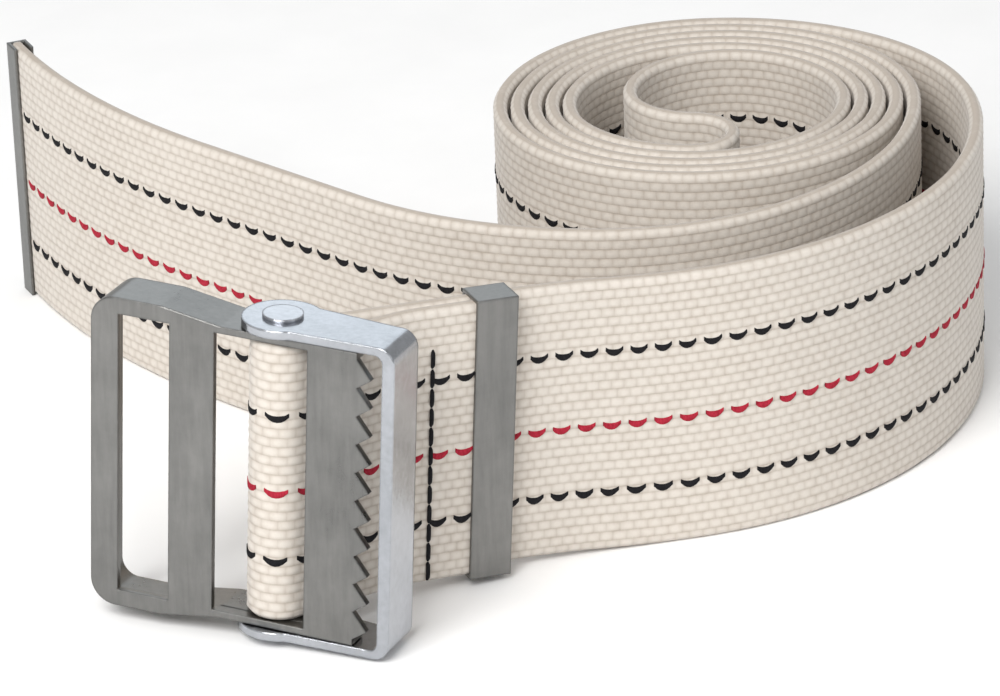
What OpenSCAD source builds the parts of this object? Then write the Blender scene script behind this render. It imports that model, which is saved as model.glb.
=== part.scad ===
// Gait belt: one length of cotton webbing with a toothed lever buckle, rolled from its middle.
// The belt stands on the long edge of its webbing. +Z up, millimetres.

/* [Webbing] */
// Webbing width, which stands upright
web_w = 50.8; // [38:0.1:102]
// Webbing thickness
web_t = 2.6; // [1.5:0.1:4]
// Spacing of neighbouring wraps in the coil, centre to centre
wrap_pitch = 3.2; // [2:0.05:6]

/* [Coil] */
// Coil centre, left to right
coil_x = 42.32; // [-200:0.01:200]
// Coil centre, front to back
coil_y = 40.76; // [-200:0.01:200]
// Radius of the outermost wrap at the left side
coil_r = 39.6; // [30:0.05:80]
// Radius of the fold in the middle of the belt
fold_r = 7.8; // [4:0.1:15]
// Radius of the tongue behind the fold
tongue_r = 13; // [6:0.1:20]
// How far the innermost wrap goes along the front before the fold
fold_turn = 82; // [60:1:100]

/* [Outer turn] */
// Radius of the loose outer turn at the back right
loose_r = 46.75; // [40:0.05:80]
// Angle it bends through
loose_a = 84; // [60:0.5:120]
// Radius of the outer turn along the front right
sweep_r = 72; // [50:0.5:150]
// Angle it bends through
sweep_a = 82.3; // [40:0.1:110]

/* [Free run] */
// Bend radii of the strand from the coil to the free end
free_r = [63.2, 49.6, 70, 157]; // [20:0.1:400]
// Angles of those bends
free_a = [55.7, 41.2, 37.3, 22.8]; // [5:0.1:90]
// Straight length before the last bend
free_straight = 39.8; // [0:0.1:200]
// Straight length at the free end
free_last = 4.5; // [0:0.1:200]

/* [Buckle run] */
// Angle the strand climbs towards the buckle, so that the deeper buckle clears the table
climb = 3.7; // [0:0.1:8]
// Radius of the edgewise bend at its lower edge
edge_r = 258; // [200:10:2000]
// Gentle bend of the climbing strand, radius
run_r = 120; // [60:1:400]
// Gentle bend of the climbing strand, angle
run_a = 9.1; // [0:0.1:30]
// Straight part that reaches the pivot pin
run_l = 43.5; // [25:0.5:200]

/* [Pin loop and tail] */
// Mid radius of the webbing round the pivot pin
loop_r = 4.3; // [3.5:0.1:8]
// Angle at which the tail closes onto the strand
close_a = 15; // [5:0.5:30]
// Radius with which the tail lies down on the strand
close_r = 30; // [10:1:100]
// Sewn tail from there to its end
tail_l = 16.4; // [10:0.1:80]
// Gap between the two sewn layers
sewn_gap = 0.1; // [0:0.05:1]

/* [Metal clips] */
// Sheet of the clip at the tail end and of the tip
clip_t = 0.6; // [0.4:0.1:1.5]
// Length of the tail clip along the belt
clip_l = 7.6; // [4:0.1:20]
// Length of the tip along the belt
tip_l = 4.4; // [4:0.1:20]

/* [Buckle] */
// Overall height of the buckle
buckle_h = 57; // [54:0.1:120]
// Angle between buckle and sewn strand, seen from above
swing = 46.8; // [0:0.1:90]
// Pivot pin diameter
pin_d = 5.4; // [4:0.1:10]
// Running fit of the lever on the pin, radial
fit = 0.05; // [0.01:0.01:0.1]
// Rivet head diameter
head_d = 7; // [6:0.1:12]
// Bracket sheet
ear_t = 1.5; // [1:0.1:3]
// Bracket depth
ear_w = 8.6; // [6:0.1:15]
// Radius of the bracket's ears round the pin
ear_r = 7; // [5:0.1:12]
// Width of the ears where they leave the round end
neck_w = 12; // [6:0.1:20]
// Distance from the pin to the bracket's crossbar
bar_u = 20.6; // [15:0.1:40]
// Thickness of the crossbar
bar_t = 2.2; // [1:0.1:5]
// Lever sheet
lever_t = 1.3; // [1:0.1:3]
// Height of the lever between the bracket's ears
lever_h = 53.6; // [50:0.1:120]
// Lever end, distance from the pin
lever_u = 33; // [20:0.5:60]
// Where the lever's rim dips under the ears, from and to, distances from the pin
dip = [20, 9]; // [8:0.1:50]
// Radius of the lever's corners at the grip end
corner_r = 4.5; // [2:0.1:10]
// Depth of the lever's rim
flange_w = 9.5; // [6:0.1:15]
// Distance from the pin centre to the lever's front face
front_y = 5.5; // [4:0.1:10]
// Window at the lever end, from and to, distances from the pin
window = [18.4, 28]; // [8:0.1:50]
// Slot for the sewn loop, left and right of the pin
slot = [10.2, 7]; // [4:0.1:20]
// Height of window and slot
window_h = 51.2; // [40:0.1:110]
// Root of the jaw teeth, distance from the pin
jaw_u = 16; // [10:0.1:30]
// Length of the jaw teeth
tooth_l = 2.6; // [1:0.1:5]
// Number of jaw teeth
teeth = 10; // [4:1:20]

/* [Stitching] */
// Distance of the seam from the tail end
seam_at = 15.4; // [8:0.1:60]
// Stitch length
stitch = 3.2; // [1:0.1:8]
// Stitch pitch
stitch_p = 4; // [1:0.1:10]
// Thread diameter as it lies on the webbing
thread = 0.9; // [0.3:0.1:2]

/* [Hidden] */
$fa = 6;
$fs = 0.4;
g = wrap_pitch;
lap = 0.2;
step = 0.02;
rise = edge_r*(1 - cos(climb));
stack = 2*web_t + sewn_gap;
close_l = (loop_r*(1 + cos(close_a)) - web_t - sewn_gap - close_r*(1 - cos(close_a)))
          /sin(close_a);

// A strand is a list of legs [radius, length or angle]: radius 0 is straight,
// positive bends left, negative bends right.
wraps_in = [for (k = [1:5]) [coil_r - k*g, k < 5 ? 180 : fold_turn]];
tongue = [[fold_r, 180], [-tongue_r, fold_turn]];
free_run = [[-free_r[0], free_a[0]], [-free_r[1], free_a[1]], [-free_r[2], free_a[2]],
            [0, free_straight], [-free_r[3], free_a[3]], [0, free_last]];
outer_turn = [[-coil_r, 90], [-loose_r, loose_a], [-sweep_r, sweep_a]];
climb_run = [[run_r, run_a], [0, run_l]];
tail = [[loop_r, 180 + close_a], [0, close_l], [-close_r, close_a], [0, tail_l]];

// Places are [x, y, heading]
function after(p, s) = s[0] == 0
    ? [p[0] + s[1]*cos(p[2]), p[1] + s[1]*sin(p[2]), p[2]]
    : let (a = p[2] + sign(s[0])*s[1])
      [p[0] + s[0]*(sin(a) - sin(p[2])), p[1] - s[0]*(cos(a) - cos(p[2])), a];
function along(p, legs, n) = n == 0 ? p : after(along(p, legs, n - 1), legs[n - 1]);
function end_of(p, legs) = along(p, legs, len(legs));

left_side = [coil_x - coil_r, coil_y];
coil_in = [left_side[0], left_side[1], -90];
coil_back = [left_side[0], left_side[1], 90];
fold_at = end_of(coil_in, wraps_in);

// The way back from the tongue touches the innermost wrap at this radius and angle
tongue_x = end_of(fold_at, tongue)[0] - coil_x;
tongue_y = end_of(fold_at, tongue)[1] - coil_y;
inner_r = coil_r - 5*g;
back_r = (inner_r*inner_r - tongue_x*tongue_x - tongue_y*tongue_y)/(2*(tongue_x + inner_r));
meet_a = atan2(tongue_y, tongue_x + back_r);
fold = concat(tongue, [[-back_r, 180 - meet_a]]);
wraps_out = [for (k = [5:-1:1]) [-(coil_r - k*g), k < 5 ? 180 : meet_a]];

out_at = end_of(fold_at, fold);
free_at = end_of(out_at, wraps_out);
tip_at = end_of(free_at, free_run);
bend_at = end_of(coil_back, outer_turn);
pin_at = end_of([0, 0, 0], climb_run);
tail_end = end_of(pin_at, tail);

// One leg of webbing standing on its edge, drawn from the origin towards +X;
// it laps back over the leg before it
module leg(s, back, slim) {
  t = web_t - slim;
  h = web_w - slim;
  if (s[0] == 0) translate([-back, -t/2, 0]) cube([s[1] + back, t, h]);
  else {
    turn = s[1] + back/abs(s[0])*180/PI;
    translate([0, s[0], 0]) rotate([0, 0, s[0] > 0 ? s[1] - turn - 90 : 90 - s[1]])
      rotate_extrude(angle = turn) translate([abs(s[0]) - t/2, 0]) square([t, h]);
  }
}

// Every second leg is slimmer by a hair, so that neighbouring legs join at a clean edge
module strand(p, legs, back = 0) {
  for (i = [0:len(legs) - 1]) {
    q = along(p, legs, i);
    translate([q[0], q[1], 0]) rotate([0, 0, q[2]])
      leg(legs[i], i == 0 ? back : lap, i%2*step);
  }
}

// The climbing strand's own frame, after the edgewise bend
module climbing() {
  translate([bend_at[0], bend_at[1], 0]) rotate([0, 0, bend_at[2]])
    translate([edge_r*sin(climb), 0, rise]) rotate([0, -climb, 0]) children();
}

// The buckle's frame: pin on Z, lever end towards -X, front towards -Y, mid height at 0
module buckle() {
  climbing() translate([pin_at[0], pin_at[1], 0]) rotate([0, 0, pin_at[2]])
    translate([0, loop_r, web_w/2]) rotate([0, 0, 180 - swing]) children();
}

// A rectangle with two rounded corners at its +X end, as a profile to extrude
module rounded(w, h, r) {
  union() {
    translate([0, -h/2]) square([w - r, h]);
    translate([0, -h/2 + r]) square([w, h - 2*r]);
    for (s = [-1, 1]) translate([w - r, s*(h/2 - r)]) circle(r);
  }
}

module webbing_coil_inward() color("Linen") strand(coil_in, wraps_in);

module webbing_fold() color("Linen") strand(fold_at, fold);

module webbing_coil_outward() color("Linen") strand(out_at, wraps_out);

module webbing_free_run() color("Linen") strand(free_at, free_run);

module webbing_outer_turn() color("Linen") strand(coil_back, outer_turn);

module webbing_buckle_run() color("Linen") {
  translate([bend_at[0], bend_at[1], edge_r]) rotate([0, 0, bend_at[2]])
    rotate([90, 90, 0]) translate([0, 0, (step - web_t)/2]) rotate_extrude(angle = climb)
      translate([edge_r - web_w + step/2, 0]) square([web_w - step, web_t - step]);
  climbing() strand([0, 0, 0], climb_run, lap);
}

module webbing_pin_loop() color("Linen") climbing() strand(pin_at, tail);

// Tip: a sheet folded round the free end of the webbing
module belt_tip() color("Silver")
  translate([tip_at[0], tip_at[1], 0]) rotate([0, 0, tip_at[2]])
    translate([clip_t - tip_l, -web_t/2 - clip_t, 0]) difference() {
      cube([tip_l, web_t + 2*clip_t, web_w]);
      translate([-1, clip_t, -1]) cube([tip_l - clip_t + 1, web_t, web_w + 2]);
    }

// Tail clip: a band crimped round both sewn layers
module tail_clip() color("Silver")
  climbing() translate([tail_end[0], tail_end[1], 0]) rotate([0, 0, tail_end[2]])
    translate([-clip_l, -web_t/2, 0]) difference() {
      translate([0, -clip_t, -clip_t]) cube([clip_l, stack + 2*clip_t, web_w + 2*clip_t]);
      translate([-1, 0, 0]) cube([clip_l + 2, stack, web_w]);
    }

module loop_stitching() color("Black")
  climbing() translate([tail_end[0], tail_end[1], 0]) rotate([0, 0, tail_end[2]])
    for (k = [0:floor((web_w - 4)/stitch_p) - 1], side = [-web_t/2 - thread/2, stack - web_t/2 + thread/2])
      translate([-seam_at, side, 2 + k*stitch_p])
        translate([-thread/2, -thread/2, 0]) cube([thread, thread, stitch]);

// Bracket: a strip bent into a U, two ears round the pin and a crossbar
module clamp_bracket() color("Silver") buckle() difference() {
  union() {
    for (z = [-buckle_h/2, buckle_h/2 - ear_t]) translate([0, 0, z]) {
      cylinder(h = ear_t, r = ear_r);
      linear_extrude(ear_t) polygon([[0, neck_w/2], [bar_u - 2, ear_w/2], [bar_u - 2, -front_y],
                                     [0, -neck_w/2]]);
    }
    translate([0, ear_w/2, 0]) rotate([90, 0, 0]) linear_extrude(ear_w/2 + front_y) difference() {
      translate([bar_u - 3, 0]) rounded(bar_t + 3, buckle_h, 3);
      translate([bar_u - 4, 0]) rounded(4, buckle_h - 2*ear_t, 1.5);
    }
  }
  translate([0, 0, -buckle_h/2 - 1]) cylinder(h = buckle_h + 2, d = pin_d);
}

// Pivot pin, riveted over both ears
module pivot_pin() color("Gainsboro") buckle() union() {
  translate([0, 0, -buckle_h/2]) cylinder(h = buckle_h, d = pin_d);
  for (s = [-1, 1]) translate([0, 0, s*(buckle_h/2 + 0.3)])
    cylinder(h = 0.6, d = head_d, center = true);
}

// Side view of the lever: full height at the grip end, dipping to pass between the ears
module lever_side(inset) {
  h = buckle_h - 2*inset;
  low = lever_h - 2*inset;
  translate([-dip[0], 0]) mirror([1, 0]) rounded(lever_u - dip[0] - inset, h, corner_r - inset);
  polygon([[-dip[0] - 1, -h/2], [-dip[0], -h/2], [-dip[1], -low/2], [-dip[1] + 1, -low/2],
           [-dip[1] + 1, low/2], [-dip[1], low/2], [-dip[0], h/2], [-dip[0] - 1, h/2]]);
  translate([-dip[1], -low/2]) square([dip[1] + jaw_u + inset, low]);
}

// Lever: front plate with two openings, a rim bent back round it, toothed edge
module toothed_lever() color("Silver") buckle() difference() {
  union() {
    translate([0, lever_t - front_y, 0]) rotate([90, 0, 0]) linear_extrude(lever_t) lever_side(0);
    intersection() {
      translate([0, flange_w - front_y, 0]) rotate([90, 0, 0])
        linear_extrude(flange_w) difference() {
          lever_side(0);
          lever_side(lever_t);
        }
      rim_plan();
    }
    translate([0, lever_t - front_y, 0]) rotate([90, 0, 0]) linear_extrude(lever_t)
      for (k = [0:teeth - 1])
        translate([jaw_u, (k - teeth/2)*window_h/teeth]) polygon([[-0.5, 0], [-0.5, window_h/teeth],
          [0, window_h/teeth], [tooth_l, window_h/teeth*0.35], [0, 0]]);
  }
  translate([0, lever_t - front_y + 1, 0]) rotate([90, 0, 0]) linear_extrude(lever_t + 2) {
    translate([-window[1], -window_h/2]) square([window[1] - window[0], window_h]);
    translate([-slot[0], -window_h/2]) square([slot[0] + slot[1], window_h]);
  }
  translate([0, 0, -buckle_h/2 - 1]) cylinder(h = buckle_h + 2, d = pin_d + 2*fit);
}

// Plan of the lever's rim: rounded round the pin, shallow beside the jaw
module rim_plan() {
  translate([0, 0, -buckle_h/2 - 1]) {
    translate([-lever_u - 1, -front_y - 1, 0]) cube([lever_u - 4, flange_w + 1, buckle_h + 2]);
    cylinder(h = buckle_h + 2, r = front_y);
    translate([-6, -front_y - 1, 0]) cube([jaw_u + 6, 5.5, buckle_h + 2]);
  }
}

webbing_coil_inward();
webbing_fold();
webbing_coil_outward();
webbing_free_run();
webbing_outer_turn();
webbing_buckle_run();
webbing_pin_loop();
belt_tip();
tail_clip();
loop_stitching();
clamp_bracket();
pivot_pin();
toothed_lever();
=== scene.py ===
"""Looks of the rolled gait belt: one woven strip, its dashed lines, its seam and its metal."""

import math

import bpy
import numpy as np
from mathutils import Matrix, Vector


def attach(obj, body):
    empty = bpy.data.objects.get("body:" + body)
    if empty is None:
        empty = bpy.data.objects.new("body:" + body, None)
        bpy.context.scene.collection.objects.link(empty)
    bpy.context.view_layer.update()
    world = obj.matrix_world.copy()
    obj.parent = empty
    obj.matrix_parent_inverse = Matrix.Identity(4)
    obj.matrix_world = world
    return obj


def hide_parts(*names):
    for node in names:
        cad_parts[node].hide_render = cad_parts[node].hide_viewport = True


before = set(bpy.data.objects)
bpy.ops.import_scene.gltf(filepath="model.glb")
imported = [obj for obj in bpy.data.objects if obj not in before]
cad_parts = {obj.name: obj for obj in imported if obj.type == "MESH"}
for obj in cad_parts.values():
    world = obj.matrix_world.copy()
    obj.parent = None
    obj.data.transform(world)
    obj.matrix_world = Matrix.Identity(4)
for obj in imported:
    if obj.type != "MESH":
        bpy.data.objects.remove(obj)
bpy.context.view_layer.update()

# Driving sizes, millimetres and degrees ------------------------------------------------
MM = 0.001
WIDTH, THICK = 50.8, 2.6  # webbing
PITCH = 3.2  # spacing of the wraps
COIL = (42.32, 40.76)  # coil centre
COIL_R = 39.6  # outermost wrap at the left side
FOLD_R, TONGUE_R, FOLD_TURN = 7.8, 13.0, 82.0
WRAPS = 5  # wraps between the outside of the coil and its folded core
CLIMB, EDGE_R = 3.7, 258.0  # climb to the buckle and the edgewise bend before it
LOOP_R = 4.3  # webbing round the pivot pin
CLOSE_A, CLOSE_R, TAIL_L, SEWN_GAP = 15.0, 30.0, 16.4, 0.1
SEAM_AT, STITCH, SEAM_SPARE = 15.4, 3.6, 7  # from the tail's end, one stitch, unsewn width

# Legs of the path, each (radius, angle) or (0, length); left bends are positive
FREE_RUN = [(-63.2, 55.7), (-49.6, 41.2), (-70, 37.3), (0, 39.8), (-157, 22.8), (0, 4.5)]
OUTER_TURN = [(-COIL_R, 90), (-46.75, 84), (-72, 82.3)]
BUCKLE_RUN = [(120, 9.1), (0, 43.5)]

STEP = 0.58  # spacing of the frames along the path
RIBS = 30  # warp bundles across the width
FLOAT = 2.3  # length of one yarn float along the belt
DASH = 4.6  # spacing of the coloured floats
RELIEF = 0.13  # depth of the weave
RIB_POWER, FLOAT_POWER, DIP = 0.6, 0.7, 0.35  # roundness of the yarns, height where floats meet


# The centre line -----------------------------------------------------------------------------
def after(place, leg):
    x, y, heading = place
    radius, size = leg
    a = math.radians(heading)
    if radius == 0:
        return x + size * math.cos(a), y + size * math.sin(a), heading
    turned = heading + math.copysign(size, radius)
    b = math.radians(turned)
    return (
        x + radius * (math.sin(b) - math.sin(a)),
        y - radius * (math.cos(b) - math.cos(a)),
        turned,
    )


def end_of(place, legs):
    for leg in legs:
        place = after(place, leg)
    return place


def places(start, legs):
    """Closely spaced places along the legs, the last one included."""
    found, place = [], start
    for radius, size in legs:
        length = size if radius == 0 else abs(radius) * math.radians(size)
        count = max(2, round(length / STEP))
        found += [after(place, (radius, size * i / count)) for i in range(count)]
        place = after(place, (radius, size))
    return found + [place]


def turn(degrees, axis):
    return Matrix.Rotation(math.radians(degrees), 4, axis)


def standing(place):
    """The frame at a place: X along the belt, Y to its left, Z up across its width."""
    return Matrix.Translation((place[0], place[1], 0)) @ turn(place[2], "Z")


def belt_frames():
    """Frames from the tip, in through the coil and out again, to the end of the sewn tail."""
    left = (COIL[0] - COIL_R, COIL[1])
    inner = COIL_R - WRAPS * PITCH
    inward = [(COIL_R - k * PITCH, 180) for k in range(1, WRAPS)]
    inward += [(inner, FOLD_TURN)]
    tongue = [(FOLD_R, 180), (-TONGUE_R, FOLD_TURN)]
    meet = end_of((*left, -90), inward + tongue)
    dx, dy = meet[0] - COIL[0], meet[1] - COIL[1]
    back_r = (inner**2 - dx**2 - dy**2) / (2 * (dx + inner))
    meet_a = math.degrees(math.atan2(dy, dx + back_r))
    outward = [(-inner, meet_a)]
    outward += [(-(COIL_R - k * PITCH), 180) for k in range(WRAPS - 1, 0, -1)]
    rolled = inward + tongue + [(-back_r, 180 - meet_a)] + outward + FREE_RUN
    frames = [standing((x, y, h + 180)) for x, y, h in places((*left, -90), rolled)]
    frames.reverse()

    outer = places((*left, 90), OUTER_TURN)
    frames += [standing(p) for p in outer[1:]]
    bend = standing(outer[-1])

    def climbed(angle):
        a = math.radians(angle)
        shift = (EDGE_R * math.sin(a), 0, EDGE_R * (1 - math.cos(a)))
        return bend @ Matrix.Translation(shift) @ turn(-angle, "Y")

    count = round(EDGE_R * math.radians(CLIMB) / STEP)
    frames += [climbed(CLIMB * i / count) for i in range(1, count + 1)]
    drop = LOOP_R * (1 + math.cos(math.radians(CLOSE_A))) - THICK - SEWN_GAP
    drop -= CLOSE_R * (1 - math.cos(math.radians(CLOSE_A)))
    close = drop / math.sin(math.radians(CLOSE_A))
    last = BUCKLE_RUN + [(LOOP_R, 180 + CLOSE_A), (0, close)]
    last += [(-CLOSE_R, CLOSE_A), (0, TAIL_L)]
    return frames + [climbed(CLIMB) @ standing(p) for p in places((0, 0, 0), last)[1:]]


FRAMES = np.array([np.array(m) for m in belt_frames()])
MIDDLE = FRAMES[:, :3, 3] + FRAMES[:, :3, 2] * WIDTH / 2
ALONG = np.concatenate([[0], np.cumsum(np.linalg.norm(np.diff(MIDDLE, axis=0), axis=1))])
LENGTH = ALONG[-1]


def on_belt(s, h, offset):
    """Points in metres: s along the belt, h up its width, offset to its left."""
    s, h, offset = np.broadcast_arrays(*(np.asarray(v, float) for v in (s, h, offset)))
    flat = FRAMES[:, :3, 1:3].reshape(len(FRAMES), -1)
    both = np.concatenate([flat, FRAMES[:, :3, 3]], axis=1)
    at = np.stack([np.interp(s.ravel(), ALONG, both[:, i]) for i in range(9)], axis=1)
    left, up, foot = at[:, 0:6:2], at[:, 1:6:2], at[:, 6:]
    left /= np.linalg.norm(left, axis=1, keepdims=True)
    points = foot + up * h.reshape(-1, 1) + left * offset.reshape(-1, 1)
    return (points * MM).reshape(*s.shape, 3)


# The weave ---------------------------------------------------------------------------------
def weave(s, h):
    """From 0 in the grooves to 1 on top of the yarns."""
    rib = h / WIDTH * RIBS
    across = np.abs(np.sin(np.pi * rib)) ** RIB_POWER
    phase = s / FLOAT + np.floor(rib) * 0.5
    along = DIP + (1 - DIP) * np.abs(np.sin(np.pi * phase)) ** FLOAT_POWER
    return across * along


def half_thickness(s, h):
    rim = np.clip(np.minimum(h, WIDTH - h) / 1.0, 0, 1)
    rounded = 0.55 + 0.45 * np.sqrt(1 - (1 - rim) ** 2)
    return THICK / 2 * rounded - RELIEF * (1 - weave(s, h))


def mesh_object(name, points, faces, material, uv=None, smooth=True):
    data = bpy.data.meshes.new(name)
    data.from_pydata([tuple(p) for p in points], [], [tuple(f) for f in faces])
    data.materials.append(material)
    data.polygons.foreach_set("use_smooth", [smooth] * len(data.polygons))
    if uv is not None:
        layer = data.uv_layers.new(name="weave")
        corners = np.zeros(len(data.loops), int)
        data.loops.foreach_get("vertex_index", corners)
        layer.data.foreach_set("uv", np.asarray(uv, float)[corners].ravel())
    data.update()
    made = bpy.data.objects.new(name, data)
    bpy.context.scene.collection.objects.link(made)
    return made


def webbing(material):
    across = np.linspace(0, WIDTH, RIBS * 2 + 1)
    s = np.linspace(0, LENGTH, round(LENGTH / FLOAT * 4) + 1)
    grid_s, grid_h = np.meshgrid(s, across, indexing="ij")
    thick = half_thickness(grid_s, grid_h)
    left = on_belt(grid_s, grid_h, thick)
    right = on_belt(grid_s, grid_h, -thick)
    ring = np.concatenate([left, right[:, ::-1]], axis=1)
    uv = np.stack([grid_s, grid_h], axis=2)
    uv = np.concatenate([uv, uv[:, ::-1]], axis=1)
    rows, cols = ring.shape[:2]
    i, j = np.meshgrid(np.arange(rows - 1), np.arange(cols), indexing="ij")
    k = (j + 1) % cols
    quads = np.stack([i * cols + j, i * cols + k, (i + 1) * cols + k, (i + 1) * cols + j], 2)
    half = cols // 2
    caps = []
    for base, flip in ((0, False), ((rows - 1) * cols, True)):
        for c in range(half - 1):
            quad = [base + c, base + cols - 1 - c, base + cols - 2 - c, base + c + 1]
            caps.append(quad[::-1] if flip else quad)
    faces = quads.reshape(-1, 4).tolist() + caps
    return mesh_object("webbing", ring.reshape(-1, 3), faces, material, uv.reshape(-1, 2))


def threads(name, heights, material, width=1.3, proud=0.24, sag=0.75, spare=5):
    """Raised dashes, both sides of the belt; each one sags in its middle like a slack float."""
    points, faces = [], []
    count, steps = int((LENGTH - 2 * spare) / DASH), 6
    t = np.linspace(0, 1, steps + 1)
    body = np.sin(np.pi * (0.12 + 0.76 * t)) ** 0.5
    for height in heights:
        for k in range(count):
            s = spare + k * DASH + t * DASH * 0.7
            h = height + sag * ((2 * t - 1) ** 2 - 0.5)
            for side in (1, -1):
                base = len(points)
                for u, lift in ((-1, -0.3), (-0.6, 0.7), (0.6, 0.7), (1, -0.3)):
                    off = side * (THICK / 2 - 0.02 + proud * lift * body)
                    points += on_belt(s, h + u * width / 2 * body, off).tolist()
                for a in range(3):
                    for b in range(steps):
                        p = base + a * (steps + 1) + b
                        quad = [p, p + 1, p + steps + 2, p + steps + 1]
                        faces.append(quad if side < 0 else quad[::-1])
                close = [base + steps + 1 - 1 - b for b in range(steps + 1)]
                close += [base + 3 * (steps + 1) + b for b in range(steps + 1)]
                faces.append(close if side > 0 else close[::-1])
                for end in (0, steps):
                    cap = [base + a * (steps + 1) + end for a in range(4)]
                    faces.append(cap if (end == 0) == (side > 0) else cap[::-1])
    return mesh_object(name, points, faces, material)


def seam(material):
    """One line of stitches across the sewn layers, on the tail and again on the strand."""
    points, faces = [], []
    sides, steps = 8, 6
    at = LENGTH - SEAM_AT
    tail_at = on_belt(at, WIDTH / 2, 0)
    strand_s = ALONG[: np.searchsorted(ALONG, at - 30)]
    gap = np.linalg.norm(on_belt(strand_s, WIDTH / 2, 0) - tail_at, axis=1)
    strand_at = strand_s[gap.argmin()]
    for s in (at, strand_at):
        for k in range(int((WIDTH - SEAM_SPARE) / STITCH)):
            t = np.linspace(0, 1, steps + 1)
            h = 0.4 + (k + t * 0.97) * STITCH
            dip = np.sin(np.pi * t) ** 0.2
            base = len(points)
            for a in range(sides):
                angle = 2 * math.pi * a / sides
                along = s + 0.42 * math.cos(angle) * (0.5 + 0.5 * dip)
                off = -(THICK / 2 - 0.25 + 0.42 * dip + 0.32 * math.sin(angle))
                points += on_belt(along, h, off).tolist()
            for a in range(sides):
                b = (a + 1) % sides
                for i in range(steps):
                    p, q = base + a * (steps + 1) + i, base + b * (steps + 1) + i
                    faces.append([p, p + 1, q + 1, q])
            faces.append([base + a * (steps + 1) for a in range(sides)][::-1])
            faces.append([base + a * (steps + 1) + steps for a in range(sides)])
    return mesh_object("seam_thread", points, faces, material)


# Materials -----------------------------------------------------------------------------------
class Shader:
    """A Principled material with short helpers for its nodes."""

    def __init__(self, name, **values):
        self.material = bpy.data.materials.new(name)
        self.material.use_nodes = True
        self.tree = self.material.node_tree
        self.main = self.tree.nodes["Principled BSDF"]
        for key, value in values.items():
            self.main.inputs[key.replace("_", " ")].default_value = value

    def node(self, kind, **settings):
        made = self.tree.nodes.new(kind)
        for key, value in settings.items():
            setattr(made, key, value)
        return made

    def link(self, source, target):
        self.tree.links.new(source, target)

    def math(self, operation, a, b=None):
        made = self.node("ShaderNodeMath", operation=operation)
        for socket, value in zip(made.inputs, (a, b)):
            if isinstance(value, (int, float)):
                socket.default_value = value
            elif value is not None:
                self.link(value, socket)
        return made.outputs[0]

    def noise(self, scale, detail=4.0, rough=0.6, stretch=(1, 1, 1)):
        place = self.node("ShaderNodeTexCoord").outputs["Object"]
        sized = self.node("ShaderNodeMapping")
        sized.inputs["Scale"].default_value = stretch
        self.link(place, sized.inputs["Vector"])
        made = self.node("ShaderNodeTexNoise")
        self.link(sized.outputs[0], made.inputs["Vector"])
        made.inputs["Scale"].default_value = scale
        made.inputs["Detail"].default_value = detail
        made.inputs["Roughness"].default_value = rough
        return made.outputs["Fac"]

    def ramp(self, factor, *stops):
        made = self.node("ShaderNodeValToRGB")
        band = made.color_ramp
        while len(band.elements) < len(stops):
            band.elements.new(0.5)
        for element, (at, colour) in zip(band.elements, stops):
            element.position, element.color = at, (*colour, 1)
        self.link(factor, made.inputs[0])
        return made.outputs[0]

    def bump(self, height, distance, strength=1.0):
        made = self.node("ShaderNodeBump")
        made.inputs["Strength"].default_value = strength
        made.inputs["Distance"].default_value = distance
        self.link(height, made.inputs["Height"])
        self.link(made.outputs[0], self.main.inputs["Normal"])


def cotton():
    """Natural cotton: yarns in staggered floats, with painted shade in the grooves, uneven
    between yarns.
    """
    m = Shader("natural_cotton", Roughness=0.88, Sheen_Weight=0.25, Sheen_Roughness=0.5)
    uv = m.node("ShaderNodeUVMap", uv_map="weave").outputs[0]
    parts = m.node("ShaderNodeSeparateXYZ")
    m.link(uv, parts.inputs[0])
    s, h = parts.outputs[0], parts.outputs[1]
    rib = m.math("MULTIPLY", h, RIBS / WIDTH)
    across = m.math("ABSOLUTE", m.math("SINE", m.math("MULTIPLY", rib, math.pi)))
    across = m.math("POWER", across, RIB_POWER)
    row = m.math("MULTIPLY", m.math("FLOOR", rib), 0.5)
    phase = m.math("ADD", m.math("MULTIPLY", s, 1 / FLOAT), row)
    along = m.math("ABSOLUTE", m.math("SINE", m.math("MULTIPLY", phase, math.pi)))
    along = m.math("MULTIPLY", m.math("POWER", along, FLOAT_POWER), 1 - DIP)
    along = m.math("ADD", along, DIP)
    yarn = m.math("MULTIPLY", across, along)
    fibre = m.noise(2200, 5, 0.7, (1, 1, 0.4))
    uneven = m.noise(420, 2)
    blotch = m.noise(28, 3)
    groove_shade_and_tone = m.math("ADD", yarn, m.math("MULTIPLY", m.math("SUBTRACT", fibre, 0.5), 0.5))
    groove_shade_and_tone = m.math("ADD", groove_shade_and_tone, m.math("MULTIPLY", m.math("SUBTRACT", uneven, 0.5), 0.7))
    groove_shade_and_tone = m.math("ADD", groove_shade_and_tone, m.math("MULTIPLY", m.math("SUBTRACT", blotch, 0.5), 0.3))
    # painted shade: the colour darkens from the yarn tops down into the grooves between them;
    # the fibre and noise terms add the cotton's own uneven tone
    colour = m.ramp(
        groove_shade_and_tone, (0.0, (0.45, 0.39, 0.33)), (0.4, (0.57, 0.515, 0.455)), (0.95, (0.67, 0.62, 0.56))
    )
    m.link(colour, m.main.inputs["Base Color"])
    rough = m.math("ADD", m.math("MULTIPLY", fibre, 0.2), 0.76)
    m.link(rough, m.main.inputs["Roughness"])
    m.bump(m.math("ADD", yarn, m.math("MULTIPLY", fibre, 0.4)), 0.00016, 0.6)
    return m.material


def yarn_dye(name, dark, light):
    m = Shader(name, Roughness=0.8, Specular_IOR_Level=0.2)
    fibre = m.noise(2600, 4, 0.7, (1, 1, 0.4))
    m.link(m.ramp(fibre, (0.3, dark), (0.75, light)), m.main.inputs["Base Color"])
    m.link(m.math("ADD", m.math("MULTIPLY", fibre, 0.25), 0.66), m.main.inputs["Roughness"])
    m.bump(fibre, 0.00015)
    return m.material


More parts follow.
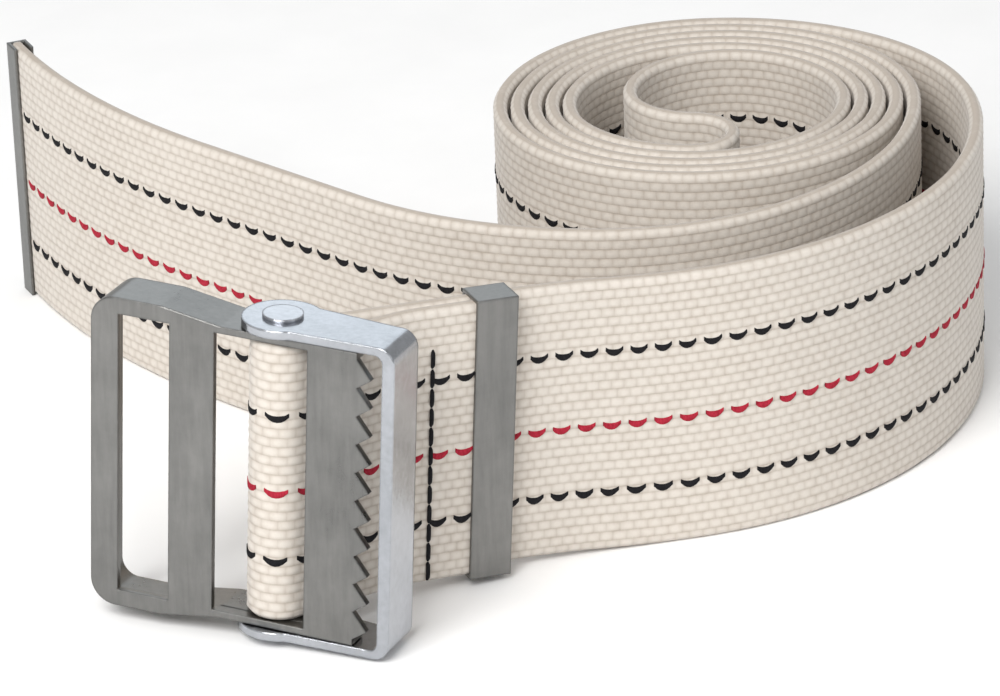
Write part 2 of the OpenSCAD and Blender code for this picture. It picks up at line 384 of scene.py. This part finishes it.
def steel(name, dark, light, rough, grain=(1, 1, 1), edge=0.0006):
    """Plated sheet: fine drawn grain, faint handling marks, softly worn edges."""
    m = Shader(name, Metallic=1.0)
    drawn = m.noise(900, 3, 0.6, grain)
    marks = m.noise(70, 5, 0.65)
    mix = m.math("ADD", m.math("MULTIPLY", drawn, 0.35), m.math("MULTIPLY", marks, 0.65))
    m.link(m.ramp(mix, (0.3, dark), (0.7, light)), m.main.inputs["Base Color"])
    spread = m.math("MULTIPLY", mix, 0.22)
    m.link(m.math("ADD", spread, rough - 0.11), m.main.inputs["Roughness"])
    round_edge = m.node("ShaderNodeBevel", samples=6)
    round_edge.inputs["Radius"].default_value = edge
    made = m.node("ShaderNodeBump")
    made.inputs["Strength"].default_value = 0.25
    made.inputs["Distance"].default_value = 0.00008
    m.link(drawn, made.inputs["Height"])
    m.link(round_edge.outputs[0], made.inputs["Normal"])
    m.link(made.outputs[0], m.main.inputs["Normal"])
    return m.material


black = yarn_dye("black_yarn", (0.003, 0.003, 0.004), (0.016, 0.015, 0.018))
red = yarn_dye("red_yarn", (0.26, 0.008, 0.02), (0.52, 0.03, 0.06))

belt = webbing(cotton())
dashes = [
    threads("woven_lines_black", (37.7, 11.2), black),
    threads("woven_line_red", (23.8,), red),
]
stitches = seam(black)
WEBBING_NODES = [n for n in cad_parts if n.startswith("webbing_")]
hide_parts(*WEBBING_NODES)
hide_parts("loop_stitching")
for piece in (belt, *dashes, stitches):
    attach(piece, "belt")

GREY, PALE = (0.165, 0.165, 0.16), (0.27, 0.267, 0.258)
METALS = {
    "belt_tip": steel("tip_steel", (0.15, 0.15, 0.145), (0.28, 0.28, 0.27), 0.38),
    "tail_clip": steel("clip_steel", GREY, PALE, 0.36, (1, 1, 0.1)),
    "clamp_bracket": steel("bracket_plate", (0.36, 0.375, 0.40), (0.54, 0.56, 0.60), 0.2),
    "pivot_pin": steel("pin_plate", (0.38, 0.39, 0.42), (0.58, 0.60, 0.64), 0.22),
    "toothed_lever": steel("lever_plate", GREY, PALE, 0.3, (1, 1, 0.12)),
}
for name, material in METALS.items():
    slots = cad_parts[name].data.materials
    for i in range(len(slots)):
        slots[i] = material

# Floor, light and camera -----------------------------------------------------------------------
SPAN = 4.0
ground = Shader("paper_white", Roughness=0.9)
grain = ground.ramp(ground.noise(40), (0.3, (0.95, 0.95, 0.95)), (0.7, (0.98, 0.98, 0.98)))
ground.link(grain, ground.main.inputs["Base Color"])
floor_points = [(x * SPAN, y * SPAN, -0.0001) for x, y in ((-1, -1), (1, -1), (1, 1), (-1, 1))]
floor = mesh_object("floor", floor_points, [(0, 1, 2, 3)], ground.material, smooth=False)


def softbox(name, place, size, watts, colour):
    data = bpy.data.lights.new(name, "AREA")
    data.shape, data.size, data.energy, data.color = "DISK", size, watts, colour
    lamp = bpy.data.objects.new(name, data)
    lamp.location = place
    lamp.rotation_euler = (-Vector(place)).to_track_quat("-Z", "Y").to_euler()
    bpy.context.scene.collection.objects.link(lamp)


softbox("key", (-0.4, -0.85, 0.95), 0.8, 16, (1.0, 0.99, 0.975))
softbox("fill", (0.9, -0.7, 0.8), 0.9, 1.5, (0.96, 0.98, 1.0))
softbox("back", (0.1, 1.5, 0.8), 1.1, 3, (0.86, 0.94, 1.0))

world = bpy.data.worlds.new("studio")
world.use_nodes = True
world.node_tree.nodes["Background"].inputs["Color"].default_value = (1, 1, 1, 1)
world.node_tree.nodes["Background"].inputs["Strength"].default_value = 0.47
bpy.context.scene.world = world
bpy.context.scene.view_settings.view_transform = "Standard"

PITCH_DOWN, ROLL = math.radians(24.07), math.radians(2.26)
right = Vector((1, 0, 0))
up = Vector((0, math.sin(PITCH_DOWN), math.cos(PITCH_DOWN)))
tilted_right = right * math.cos(ROLL) - up * math.sin(ROLL)
tilted_up = right * math.sin(ROLL) + up * math.cos(ROLL)
looking = tilted_right.cross(tilted_up)
basis = Matrix((tilted_right, tilted_up, looking)).transposed().to_4x4()
lens = bpy.data.cameras.new("camera")
lens.lens, lens.sensor_width, lens.clip_end = 216, 36, 20
camera = bpy.data.objects.new("camera", lens)
camera.matrix_world = Matrix.Translation((0.00097, -0.98444, 0.4598)) @ basis
bpy.context.scene.collection.objects.link(camera)
bpy.context.scene.camera = camera
